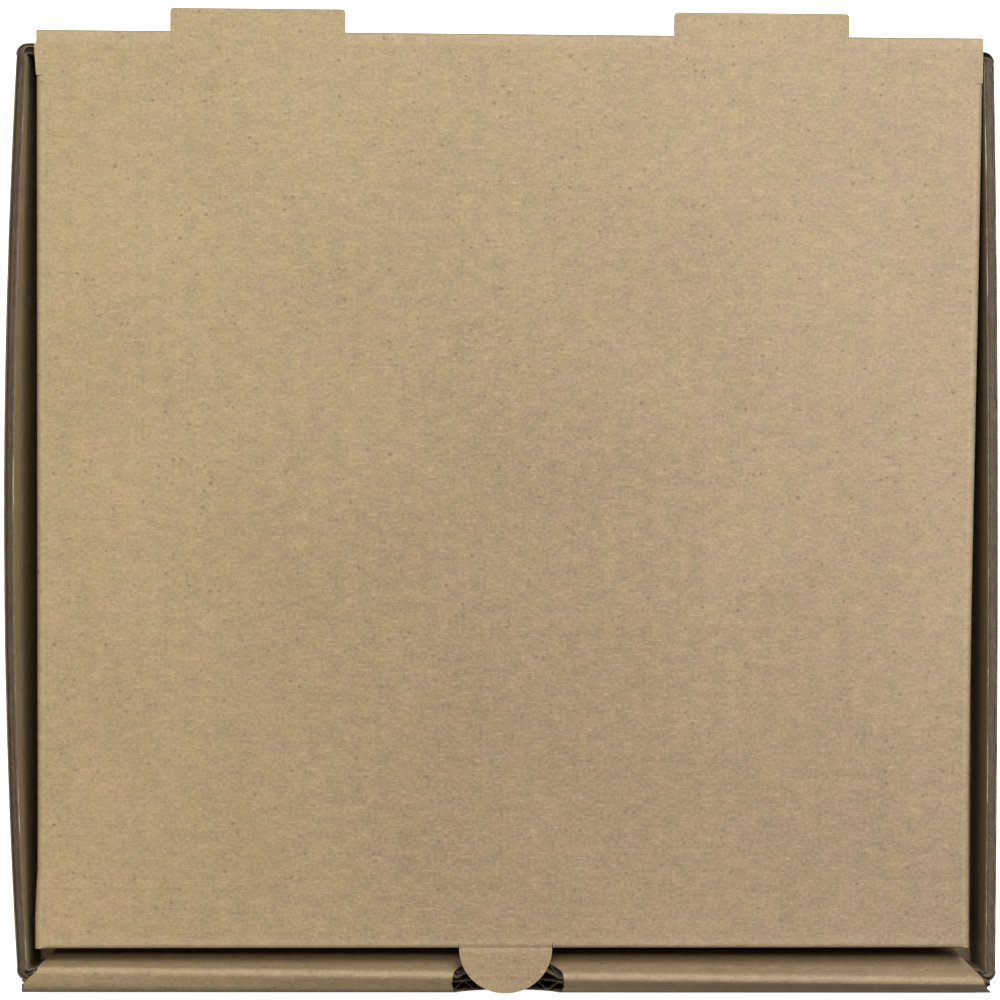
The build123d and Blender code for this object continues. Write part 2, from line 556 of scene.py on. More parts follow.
def finished(name: str, sheet: bmesh.types.BMesh, body: str) -> bpy.types.Object:
    """Makes a shaded piece from a folded bmesh.

    Args:
        name: the piece's name.
        sheet: the folded mesh, which is freed.
        body: the body that the piece moves with.

    Returns:
        The piece.
    """
    piece = new_object(name, sheet)
    smooth(piece, sharp_from=38)
    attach(piece, body)
    return piece


# ---------------------------------------------------------------------------------------------
# Tray
# ---------------------------------------------------------------------------------------------


@dataclass(eq=False)
class Tray:
    """Lower half: base, rear wall, bowed side walls with corner flaps, rolled-over front wall.

    A pair of sizes is for the left and the right of the box.
    """

    board: Board
    front_face: float
    rear_face: float
    side_face: float
    top: float
    lid_edge: float
    crease_reach: float
    bows: tuple[float, float]
    front_leans: tuple[float, float] = (0.3 * MM, 0.7 * MM)
    rear_leans: tuple[float, float] = (1.6 * MM, -0.8 * MM)
    fold_radius: float = 2.6 * MM
    corner_radius: float = 3.0 * MM
    shoulder_radii: tuple[float, float] = (6.0 * MM, 2.4 * MM)
    ridge_radius: float = 1.3 * MM
    inner_radius: float = 8.0 * MM
    layer_gap: float = 0.3 * MM
    floor_gap: float = 0.4 * MM
    front_wall_drop: float = 1.2 * MM
    side_wall_drop: float = 2.0 * MM
    front_wall_inset: float = 1.4 * MM
    wall_step: float = 0.6 * MM
    overhangs: tuple[float, float] = (0.6 * MM, 1.4 * MM)
    mitre_start: float = 3.2 * MM
    ridges: tuple[float, float] = (6.9 * MM, 3.6 * MM)
    outer_slopes: tuple[float, float] = (2.6 * MM, 8.6 * MM)
    slope_curve: float = 0.6
    inner_slope: float = 13.0 * MM
    racked: tuple[float, float] = (1.2 * MM, 0.45 * MM)
    notch_radius: float = 14.8 * MM
    notch_inset: float = 1.95 * MM
    notch_shift: float = 0.7 * MM
    lock_width: float = 46.0 * MM
    lock_spacing: float = 126.0 * MM
    lock_tip: float = 0.4 * MM
    slot_clearance: float = 0.25 * MM
    rear_tab_width: float = 46.0 * MM
    rear_tab_spacing: float = 132.3 * MM
    rear_tab_length: float = 6.0 * MM
    die_gap: float = 0.6 * MM
    rear_flap_stop: float = 3.0 * MM
    front_flap_reach: float = 48.6 * MM
    front_flap_top: float = 28.5 * MM
    rear_flap_top: float = 41.0 * MM
    flap_chamfer: float = 9.0 * MM
    cut_fray: float = 0.6 * MM
    fray_scale: float = 2.2 * MM
    liner_fray_scale: float = 5.0 * MM
    fray_depth: float = 1.5 * MM
    fray_step: float = 1.5 * MM
    edge_pinch: float = 0.15
    wall_division: float = 6.0 * MM
    panel_division: float = 18.0 * MM
    roll_division: float = 0.5 * MM
    roll_before_shoulder: float = 8.0 * MM
    roll_past_ridge: float = 5.0 * MM
    roll_fold_steps: int = 5
    lock_division: float = 12.0 * MM

    @property
    def rolled_face(self) -> float:
        """Distance from the middle to the inner face of the rolled-over wall."""
        return self.front_face - 3 * self.board.thickness - 2 * self.layer_gap

    @property
    def front_wall_end(self) -> float:
        """Half the width of the front wall."""
        return self.side_face - self.front_wall_inset

    @property
    def side_wall_top(self) -> float:
        """Height of the side walls' top edge."""
        return self.top - self.side_wall_drop

    @property
    def roll_top(self) -> float:
        """Height of the rolled-over wall's ridge."""
        return self.top - self.front_wall_drop

    @cached_property
    def rack(self) -> Rack:
        """How the tray stands out of square."""
        depth = self.rear_face + self.front_face
        return Rack(self.rear_face, depth, self.side_face, self.racked)

    def across_front(self, x: float) -> float:
        """Share of the way from the front wall's left end to its right end."""
        return (x + self.front_wall_end) / (2 * self.front_wall_end)

    def ridge_inset(self, x: float) -> float:
        """How far the roll's ridge is behind the front face; it runs askew."""
        return blend(*self.ridges, self.across_front(x))

    @lru_cache(maxsize=None)
    def front_path(self, x: float) -> FoldedPath:
        """Finds the section of base, front wall and roll, which changes along the wall.

        Args:
            x: place along the front wall.

        Returns:
            The section, from the middle of the base to the lock tabs' tip.
        """
        share = min(max(self.across_front(x), 0.0), 1.0)
        slope = blend(*self.outer_slopes, share ** self.slope_curve)
        corners = [
            (0.0, 0.0),
            (self.front_face, 0.0),
            (self.front_face, self.roll_top - slope),
            (self.front_face - self.ridge_inset(x), self.roll_top),
            (self.rolled_face, self.roll_top - self.inner_slope),
            (self.rolled_face, self.lock_tip),
        ]
        shoulder = blend(*self.shoulder_radii, share)
        radii = (self.fold_radius, shoulder, self.ridge_radius, self.inner_radius)
        return FoldedPath(corners, radii)

    def drawn(self, x: float, distance: float) -> float:
        """Distance along the section at x for a distance along the flat sheet.

        Args:
            x: place along the front wall.
            distance: distance from the middle on the flat sheet, which fits the section at x = 0.

        Returns:
            The distance along the section, drawn out over the roll where that is longer.
        """
        middle = self.front_path(0.0)
        start, end = middle.station(1, 0.0), middle.station(3, 0.0)
        longer = self.front_path(round(x, PLACE_DIGITS)).length - middle.length
        return distance + longer * smoothstep((distance - start) / (end - start))

    def on_sheet(self, x: float, distance: float) -> float:
        """Finds the flat place of a point of the section, which is drawn() turned round.

        Args:
            x: place along the front wall.
            distance: distance along the section there.

        Returns:
            The distance from the middle on the flat sheet.
        """
        flat = distance
        for _ in range(SETTLING_ROUNDS):
            flat += distance - self.drawn(x, flat)
        return flat

    def roll_end(self, side: int) -> Outline:
        """Outline of one end of the front wall and its roll, which is mitred at 45 degrees.

        Args:
            side: 1 for the right-hand end, -1 for the left-hand one.

        Returns:
            The outline from the base to the foot of the rolled-over panel.
        """
        x = side * self.front_wall_end
        path, ridge = self.front_path(x), self.ridge_inset(x)
        shoulder, top, foot = (self.on_sheet(x, path.station(fold, 0.0)) for fold in (1, 2, 3))
        start = blend(shoulder, top, self.mitre_start / ridge)
        past = max(ridge - self.mitre_start, 0.0)
        whole = self.front_face - self.rolled_face - self.mitre_start
        wide = x + side * on_side(self.overhangs, side)
        corners = [
            (wide, self.base_front - self.overlap),
            (wide, shoulder + self.wall_step),
            (x, shoulder + 2 * self.wall_step),
            (x, max(start, shoulder + 3 * self.wall_step)),
            (x - side * past, top),
            (x - side * whole, foot),
            (x - side * whole, self.panel_foot),
        ]
        return [(across, -distance) for across, distance in corners]

    @property
    def panel_foot(self) -> float:
        """Place on the flat sheet of the rolled-over panel's foot, clear of the base."""
        return self.front_path(0.0).length - self.board.thickness - self.floor_gap + self.lock_tip

    @property
    def base_front(self) -> float:
        """Distance from the middle to the flat base's front end, clear of the side walls."""
        return self.front_face - self.fold_radius - self.die_gap

    @property
    def overlap(self) -> float:
        """How far one part of the outline reaches into the next."""
        return 2 * self.fold_radius

    @cached_property
    def rear_path(self) -> FoldedPath:
        """Section of base and rear wall."""
        return single_fold(self.rear_face, self.top, self.fold_radius)

    @cached_property
    def side_path(self) -> FoldedPath:
        """Section of base and side wall."""
        return single_fold(self.side_face, self.top, self.fold_radius)

    @cached_property
    def corner_path(self) -> FoldedPath:
        """Plan of a side wall and a corner flap, one board inside the front and rear walls."""
        face = self.front_face - self.board.thickness - self.layer_gap
        return single_fold(face, 2 * self.front_flap_reach, self.corner_radius)

    @property
    def wall_end(self) -> float:
        """Distance along y from the middle to where a side wall's corner fold starts."""
        return self.corner_path.runs[1].start

    def tab_spans(self, clearance: float) -> list[tuple[float, float]]:
        """Places the lid's two rear tabs.

        Args:
            clearance: what is added at each side of a tab.

        Returns:
            (low, high) along x of the left tab, then of the right tab.
        """
        half = self.rear_tab_width / 2 + clearance
        middles = [side * self.rear_tab_spacing / 2 for side in (-1, 1)]
        return [(middle - half, middle + half) for middle in middles]

    def blank(self) -> Blank:
        """Draws the tray's half of the sheet.

        Returns:
            Its outline, with the slots, the notch and the gaps that are cut out of it.
        """
        blank = Blank(self.board)
        front, foot = self.front_path(0.0), self.panel_foot
        base_end = self.side_face - self.fold_radius - self.die_gap
        blank.parts.append(
            rectangle((-base_end, base_end), (-self.base_front, self.base_front))
        )
        wall = self.roll_end(1)
        for side in (1, -1):
            middle, half = side * self.lock_spacing / 2, self.lock_width / 2
            wall += [(middle + half, -foot), (middle + half, -front.length)]
            wall += [(middle - half, -front.length), (middle - half, -foot)]
            slot_x = (middle - half - self.slot_clearance, middle + half + self.slot_clearance)
            slot_front = self.rolled_face + self.board.thickness + self.slot_clearance
            slot_rear = self.rolled_face - self.slot_clearance
            blank.holes.append(rectangle(slot_x, (-slot_front, -slot_rear)))
        blank.parts.append(wall + self.roll_end(-1)[::-1])
        rear_top = self.rear_path.station(0, self.top - self.crease_reach)
        rear_start = self.rear_face - 2 * self.overlap
        blank.parts.append(rectangle((-self.lid_edge, self.lid_edge), (rear_start, rear_top)))
        swing = math.hypot(self.rear_tab_length, self.board.thickness) + self.die_gap
        notch_floor = self.rear_path.station(0, self.top - swing)
        for span in self.tab_spans(self.die_gap):
            blank.holes.append(rectangle(span, (notch_floor, rear_top + self.overlap)))
        notch_middle = (self.notch_shift, self.notch_inset - front.station(2, 0.0))
        blank.holes.append(circle(notch_middle, self.notch_radius))
        arm = self.side_arm()
        blank.parts += [arm, mirrored(arm)]
        return blank

    def side_arm(self) -> Outline:
        """Draws the right-hand side wall with its two corner flaps.

        Returns:
            The outline, which starts inside the base.
        """
        side, corner, cut = self.side_path, self.corner_path, self.flap_chamfer
        start = self.side_face - 3 * self.fold_radius
        wall_end = self.wall_end
        low = side.station(0, self.board.thickness + self.floor_gap)
        top = side.station(0, self.side_wall_top)
        rear_reach = self.side_face - self.tab_spans(self.die_gap)[1][1] - self.rear_flap_stop
        outline: Outline = [(start, -wall_end), (low, -wall_end)]
        for direction, reach, height in (
            (-1, self.front_flap_reach, self.front_flap_top),
            (1, rear_reach, self.rear_flap_top),
        ):
            end = direction * corner.station(0, reach)
            shoulder = direction * corner.runs[2].start
            flap_top = side.station(0, height)
            flap = [
                (low, end - direction * cut),
                (low + cut, end),
                (flap_top - cut, end),
                (flap_top, end - direction * cut),
                (flap_top, shoulder + direction * cut / 2),
                (side.station(0, self.rear_flap_top - self.layer_gap), shoulder),
                (top, direction * wall_end),
            ]
            outline += flap if direction < 0 else flap[::-1]
        return outline + [(low, wall_end), (start, wall_end)]

    def on_side_arm(self, x: float, y: float) -> bool:
        """Whether a flat place is on a side wall or a corner flap."""
        outside = abs(x) > self.side_face - self.fold_radius
        return outside and (abs(x) > self.side_face or abs(y) < self.wall_end)

    def place(self, flat: Vector) -> tuple[Vector, float]:
        """Folds one point of the flat sheet.

        Args:
            flat: the point, as x, y and depth.

        Returns:
            Its folded place and its nearness to a fold.
        """
        if self.on_side_arm(flat.x, flat.y):
            return self.place_on_side(flat)
        path, distance = self.rear_path, abs(flat.y)
        if flat.y < 0:
            path = self.front_path(round(flat.x, PLACE_DIGITS))
            distance = self.drawn(flat.x, distance)
        depth = flat.z * path.squeeze(distance, self.board)
        beside = smoothstep((self.wall_end - distance) / path.RAMP)
        depth *= blend(1.0, self.side_path.squeeze(abs(flat.x), self.board), beside)
        along, up = path.at(distance, depth)
        place = Vector((flat.x, math.copysign(along, flat.y), up))
        return self.rack.moved(place), path.closeness(distance)

    def shift_out(self, x: float, y: float) -> float:
        """Finds how far out a side wall's top stands, from its bow and its lean.

        Args:
            x: any place on the wall's side of the middle.
            y: place along the wall.

        Returns:
            How far the top is past the foot.
        """
        share = min(max(y / self.wall_end, -1.0), 1.0)
        bow = on_side(self.bows, x) * (1 - share * share)
        front_lean = on_side(self.front_leans, x) * ((1 - share) / 2) ** 3
        rear_lean = on_side(self.rear_leans, x) * ((1 + share) / 2) ** 3
        return bow + front_lean + rear_lean

    def place_on_side(self, flat: Vector) -> tuple[Vector, float]:
        """Folds one point of a side wall or corner flap, with the wall's bow and cut edge.

        Args:
            flat: the point, as x, y and depth.

        Returns:
            Its folded place and its nearness to a fold.
        """
        side, corner, board = self.side_path, self.corner_path, self.board
        distance, depth = abs(flat.x), flat.z
        gap = side.station(0, self.side_wall_top) - distance
        if gap < self.fray_depth and abs(flat.y) < self.wall_end:
            near = 1 - max(gap, 0.0) / self.fray_depth
            middle = board.thickness / 2
            depth = middle + (depth - middle) * (1 - self.edge_pinch * near)
            in_medium = board.liner < flat.z < board.thickness - board.liner
            seed = Vector((flat.y, flat.x, 0.0 if in_medium else depth))
            scale, size = self.liner_fray_scale, self.cut_fray / 3
            if in_medium:
                scale, size = self.fray_scale, self.cut_fray
            distance -= abs(ragged(seed, scale, size)) * near * 2
        folded = smoothstep((distance - side.runs[1].start) / side.runs[1].length)
        depth *= side.squeeze(distance, board)
        depth *= blend(1.0, corner.squeeze(abs(flat.y), board), folded)
        along, inward = corner.at(abs(flat.y), depth)
        across, up = side.at(distance, inward)
        rise = max(up - self.fold_radius, 0.0) / (self.side_wall_top - self.fold_radius)
        across += rise * self.shift_out(flat.x, math.copysign(along, flat.y))
        near_fold = max(side.closeness(distance), corner.closeness(abs(flat.y)))
        place = Vector((math.copysign(across, flat.x), math.copysign(along, flat.y), up))
        return self.rack.moved(place), near_fold

    def build(self) -> bpy.types.Object:
        """Cuts, scores and folds the tray.

        Returns:
            The finished piece.
        """
        sheet = self.blank().build()
        front, side, corner = self.front_path(0.0), self.side_path, self.corner_path
        edge, wall_end = self.side_face - self.fold_radius, self.wall_end
        across, along = Vector((1, 0, 0)), Vector((0, 1, 0))
        ramp = [FoldedPath.RAMP * share for share in (0.0, 0.5, 1.0)]
        for direction in (1, -1):
            lines = [edge - gap for gap in ramp] + [self.side_face]
            divide(sheet, across * direction, lines)
            divide(sheet, along * direction, [wall_end - gap for gap in ramp])

        def in_arm(centre: Vector) -> bool:
            """Whether a face is on a side wall or a corner flap."""
            return self.on_side_arm(centre.x, centre.y)

        def in_column(centre: Vector) -> bool:
            """Whether a face is on the base, the front wall or the rear wall."""
            return not in_arm(centre)

        top = side.station(0, self.side_wall_top)
        fray = top - self.fray_depth
        for direction in (1, -1):
            lines = side.score_lines(FOLD_STEPS) + [fray, top - self.fray_depth / 3]
            divide(sheet, across * direction, lines, lambda centre: centre.x * direction > edge)
            divide(sheet, along * direction, corner.score_lines(FOLD_STEPS), in_arm)
        divide(sheet, along, spaced(-wall_end, wall_end, self.wall_division), in_arm)
        divide(sheet, along, spaced(-wall_end, wall_end, self.fray_step),
               lambda centre: abs(centre.x) > fray and in_arm(centre))
        start = front.station(1, -self.roll_before_shoulder)
        end = front.station(2, self.roll_past_ridge)
        lines = [line for line in front.score_lines(self.roll_fold_steps) if not start < line < end]
        lines += spaced(start, end, self.roll_division) + [front.length - self.lock_division]
        divide(sheet, -along, lines, in_column)
        divide(sheet, along, self.rear_path.score_lines(FOLD_STEPS), in_column)
        divide(sheet, across, spaced(-edge, edge, self.panel_division),
               lambda centre: in_column(centre) and centre.y < -wall_end)
        fold_sheet(sheet, self.place, turned=False)
        return finished("tray_board", sheet, "tray")


# ---------------------------------------------------------------------------------------------
# Lid
# ---------------------------------------------------------------------------------------------


@dataclass(eq=False)
class Lid:
    """Upper half: panel, side flaps, front flap, thumb tab and the two rear tabs.

    A pair of sizes is for the left and the right of the box.
    """

    board: Board
    tray: Tray
    rear_edge: float
    tapers: tuple[float, float] = (1.4 * MM, 2.6 * MM)
    front_gap: float = 1.8 * MM
    fold_radius: float = 1.7 * MM
    front_radius: float = 1.3 * MM
    setback: float = 12.0 * MM
    relief: float = 0.14 * MM
    strip_flare: float = 0.6 * MM
    racked: tuple[float, float] = (0.57 * MM, -0.82 * MM)
    flap_slant: float = 16.0 * MM
    flap_front: float = 6.0 * MM
    front_flap_gap: float = 4.8 * MM
    front_flap_drop: float = 36.0 * MM
    front_flap_lean: float = math.radians(3.0)
    flap_chamfer: float = 10.0 * MM
    thumb_half: float = 12.2 * MM
    thumb_reach: float = 11.8 * MM
    die_cut: float = 0.15 * MM
    thumb_score: float = 0.4 * MM
    thumb_score_spread: float = 0.6 * MM
    thumb_score_reach: float = 1.2 * MM
    thumb_division: float = 0.3 * MM
    thumb_steps: int = 48
    tab_corner: float = 1.0 * MM
    tab_corner_steps: int = 4
    corner_flare: float = 0.75 * MM
    waist: float = 0.75 * MM
    flare_start: float = 92.0 * MM
    flare_end: float = 104.0 * MM
    edge_hold: int = 6
    warp: float = 0.35 * MM
    warp_size: float = 90 * MM
    warp_free: float = 40 * MM
    division: float = 12.0 * MM
    front_division: float = 8.0 * MM
    side_band: float = 100.0 * MM

    @property
    def front_edge(self) -> float:
        """Distance from the middle to the lid's front edge."""
        return self.tray.rolled_face - self.front_gap

    @property
    def depth(self) -> float:
        """Hinge line to front edge."""
        return self.tray.rear_face + self.front_edge

    @property
    def strip_front(self) -> float:
        """Place along y where the full-width strip at the hinge ends."""
        return self.tray.rear_face - self.setback

    def from_hinge(self, y: float) -> float:
        """Share of the way from the hinge to the front edge."""
        return min(max((self.tray.rear_face - y) / self.depth, 0.0), 1.0)

    def taper_at(self, x: float, y: float) -> float:
        """How far the side that x is on has come in at a place between hinge and front edge."""
        return on_side(self.tapers, x) * self.from_hinge(y)

    @cached_property
    def rack(self) -> Rack:
        """How the lid stands out of square."""
        return Rack(self.strip_front, self.depth - self.setback, self.rear_edge, self.racked)

    @cached_property
    def side_path(self) -> FoldedPath:
        """Section of panel and side flap, at the hinge."""
        drop = self.tray.top - self.board.thickness - self.tray.floor_gap
        return single_fold(self.rear_edge, drop, self.fold_radius)

    @cached_property
    def front_path(self) -> FoldedPath:
        """Section of panel and front flap, which leans in a little."""
        foot = (
            self.front_edge - self.front_flap_drop * math.sin(self.front_flap_lean),
            self.front_flap_drop * math.cos(self.front_flap_lean),
        )
        return FoldedPath([(0.0, 0.0), (self.front_edge, 0.0), foot], [self.front_radius])

    def blank(self) -> Blank:
        """Draws the lid's half of the sheet.

        Returns:
            Its outline, with the cut round the thumb tab.
        """
        blank = Blank(self.board)
        tray, side, front, strip = self.tray, self.side_path, self.front_path, self.strip_front
        fold_start, fold_end = side.runs[1].start, side.runs[2].start
        rear = tray.rear_face - tray.crease_reach
        panel_front = -front.runs[1].start
        overlap = 2 * self.fold_radius

        def tapered(outline: Outline) -> Outline:
            """The outline, drawn in towards the front."""
            return [(x - math.copysign(self.taper_at(x, y), x), y) for x, y in outline]

        panel = [
            (self.rear_edge, rear),
            (self.rear_edge, strip),
            (fold_start, strip),
            (fold_start, panel_front),
        ]
        flare = [(-self.rear_edge - self.strip_flare, rear - overlap / 4)]
        left = mirrored(panel)
        blank.parts.append(tapered(panel + left[:-1] + flare + left[-1:]))
        flap_rear = strip - self.relief
        flap_front = self.relief / 2 - self.front_edge
        flap = [
            (fold_start - overlap, flap_rear),
            (fold_end, flap_rear),
            (side.length, flap_rear - self.flap_slant),
            (side.length, flap_front + self.flap_front + self.flap_slant),
            (fold_end, flap_front),
            (fold_start, flap_front),
            (fold_start - overlap, flap_front + overlap),
        ]
        blank.parts += [tapered(flap), tapered(mirrored(flap))]
        crease_end = fold_start - self.relief / 2
        flap_end = self.rear_edge - self.front_flap_gap
        cut = self.flap_chamfer
        front_flap = [
            (crease_end, panel_front + overlap),
            (crease_end, -front.runs[2].start),
            (flap_end, -front.runs[2].start - overlap),
            (flap_end, cut - front.length),
            (flap_end - cut, -front.length),
        ]
        blank.parts.append(tapered(front_flap + mirrored(front_flap)))
        top_of_cut = panel_front + self.relief / 4
        outer, inner = self.thumb_outline(self.die_cut), self.thumb_outline(0.0)[::-1]
        tab_cut: Outline = []
        for edge, following in ((outer, inner), (inner, outer)):
            tab_cut += [*edge, (edge[-1][0], top_of_cut), (following[0][0], top_of_cut)]
        blank.holes.append(tab_cut)
        corner = self.tab_corner
        tip = tray.rear_face + tray.rear_tab_length
        for low, high in tray.tab_spans(0.0):
            tab = [(low, rear - overlap), (high, rear - overlap)]
            tab += arc((high - corner, tip - corner), corner, 0, 90, self.tab_corner_steps)
            tab += arc((low + corner, tip - corner), corner, 90, 180, self.tab_corner_steps)
            blank.parts.append(tab)
        return blank

    def thumb_outline(self, grown: float) -> Outline:
        """Draws the edge of the thumb tab, which is half an ellipse.

        Args:
            grown: how far outside the tab's own edge.

        Returns:
            Its points, from left to right.
        """
        half_circle = arc((0.0, 0.0), 1.0, 180, 360, self.thumb_steps)
        half, reach = self.thumb_half + grown, self.thumb_reach + grown
        return [(x * half, y * reach - self.front_edge) for x, y in half_circle]

    def on_thumb_tab(self, x: float, y: float) -> bool:
        """Tells the thumb tab, which stays in the panel's plane, from the flap it is cut from.

        Args:
            x: place across the flat sheet.
            y: place along it.

        Returns:
            Whether the place is on the tab.
        """
        if y > -self.front_path.runs[1].start:
            return False
        across = x / (self.thumb_half + self.die_cut / 2)
        along = min(y + self.front_edge, 0.0) / (self.thumb_reach + self.die_cut / 2)
        return across * across + along * along < 1

    def place(self, flat: Vector) -> tuple[Vector, float]:
        """Folds one point of the flat sheet.

        Args:
            flat: the point, as x, y and depth.

        Returns:
            Its folded place and its nearness to a fold.
        """
        x, y, depth = flat
        taper, crease = self.taper_at(x, y), 0.0
        distance = abs(x) + taper
        in_strip = y > self.strip_front - self.relief / 2
        if self.on_thumb_tab(x, y):
            score = math.exp(-((y + self.front_edge) / self.thumb_score_spread) ** 2)
            depth += self.thumb_score * score * (1 - depth / self.board.thickness)
            crease = score
        elif distance > self.side_path.runs[1].start and not in_strip:
            depth *= self.side_path.squeeze(distance, self.board)
            across, depth = self.side_path.at(distance, depth)
            x = math.copysign(across - taper, x)
            crease = self.side_path.closeness(distance)
        elif y < 0:
            depth *= self.front_path.squeeze(-y, self.board)
            along, depth = self.front_path.at(-y, depth)
            crease, y = self.front_path.closeness(-y), -along
            if not in_strip:
                depth *= self.side_path.squeeze(distance, self.board)
        free = smoothstep((self.tray.rear_face - y) / self.warp_free)
        spot = Vector((x, y, 0.0)) / self.warp_size
        rise = self.warp * free * noise.noise(spot)
        x -= self.edge_shift(x, y) * (x / self.rear_edge) ** self.edge_hold
        return self.rack.moved(Vector((x, y, self.tray.top - depth + rise))), crease

    def edge_shift(self, x: float, y: float) -> float:
        """Finds how far a side edge is out of line: the left flares, and the right has a waist.

        Args:
            x: place across the lid, which tells the side.
            y: place along it.

        Returns:
            How far to the left of its straight line the edge is.
        """
        if x < 0:
            near_front = (-y - self.flare_start) / (self.flare_end - self.flare_start)
            return self.corner_flare * smoothstep(near_front)
        along = self.from_hinge(y)
        return self.waist * math.sin(math.pi * along * along)

    def build(self) -> bpy.types.Object:
        """Cuts, scores and folds the lid.

        Returns:
            The finished piece.
        """
        sheet = self.blank().build()
        across, along = Vector((1, 0, 0)), Vector((0, 1, 0))
        divide(sheet, across, spaced(-self.rear_edge, self.rear_edge, self.division))
        lines = spaced(self.front_division - self.front_edge, self.tray.rear_face, self.division)
        divide(sheet, along, lines + [self.strip_front - self.relief / 2])
        for direction in (1, -1):
            rate = on_side(self.tapers, direction) / self.depth
            shift = rate * self.tray.rear_face
            slanted = Vector((direction, -rate, 0))
            folds = self.side_path.score_lines(FOLD_STEPS)
            lines = [(line - shift) / slanted.length for line in folds]
            divide(sheet, slanted.normalized(), lines,
                   lambda centre: centre.x * direction > self.side_band)
        divide(sheet, -along, self.front_path.score_lines(FOLD_STEPS))
        start, end = (self.thumb_score_reach * way - self.front_edge for way in (-1, 1))
        divide(sheet, along, spaced(start, end, self.thumb_division),
               lambda centre: self.on_thumb_tab(centre.x, centre.y))
        fold_sheet(sheet, self.place, turned=True)
        return finished("lid_board", sheet, "lid")


# ---------------------------------------------------------------------------------------------
# Hinge crease
# ---------------------------------------------------------------------------------------------


@dataclass(eq=False)
class HingeCrease:
    """Scored board that joins lid and rear wall."""

    board: Board
    tray: Tray
    corner_radius: float = 1.1 * MM
    steps: int = 14
    layers: int = 4

    def section(self, along: float, share: float) -> tuple[float, float]:
        """Finds a point of the crease's section at rest.

        Args:
            along: 0 at the lid's end to 1 at the wall's end.
            share: depth as a share of the board's thickness.

        Returns:
            The point's y and z.
        """
        tray, reach = self.tray, self.tray.crease_reach
        path = FoldedPath([(-reach, 0.0), (0.0, 0.0), (0.0, reach)], [self.corner_radius])
        outer, depth = path.at(path.length * along, 0.0), self.board.thickness
        inner = Vector((-reach, depth)).lerp(Vector((-depth, reach)), along)
        point = outer.lerp(inner, share)
        return tray.rear_face + point.x, tray.top - point.y

    def build(self) -> bpy.types.Object:
        """Builds the strips between and beside the rear tabs.

        Returns:
            The finished piece, between lid and tray.
        """
        tray = self.tray
        left_tab, right_tab = tray.tab_spans(0.0)
        ends = [-tray.lid_edge, *left_tab, *right_tab, tray.lid_edge]
        crease = bmesh.new()
        for low, high in zip(ends[0::2], ends[1::2]):
            made = bmesh.ops.create_grid(
                crease, x_segments=self.steps, y_segments=self.layers, size=0.5
            )
            for vert in made["verts"]:
                vert.co = Vector((low, *self.section(vert.co.x + 0.5, vert.co.y + 0.5)))
            faces = dict.fromkeys(face for vert in made["verts"] for face in vert.link_faces)
            thicken(crease, faces, (high - low, 0, 0))
        for vert in crease.verts:
            vert.co = tray.rack.moved(vert.co)
        bmesh.ops.recalc_face_normals(crease, faces=crease.faces)
        sheet_map = crease.loops.layers.uv.new("sheet")
        crease_layer = crease.verts.layers.float.new("crease")
        for face in crease.faces:
            face.material_index = (Finish.EDGE if abs(face.normal.x) > FACING else Finish.LINER).value
            for loop in face.loops:
                loop[sheet_map].uv = (loop.vert.co.x, loop.vert.co.y - loop.vert.co.z + tray.top)
        # The whole crease counts as a fold, so it takes the paler rubbed paper and its painted
        # highlight.
        for vert in crease.verts:
            vert[crease_layer] = 1.0
        piece = new_object("hinge_crease", crease)
        smooth(piece, sharp_from=50)
        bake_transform(piece)
        return piece


# ---------------------------------------------------------------------------------------------
# Finishes
# ---------------------------------------------------------------------------------------------

Colour = tuple[float, float, float, float]
Value = float | Triple | Colour | bpy.types.NodeSocket
Sockets = dict[str, bpy.types.NodeSocket]


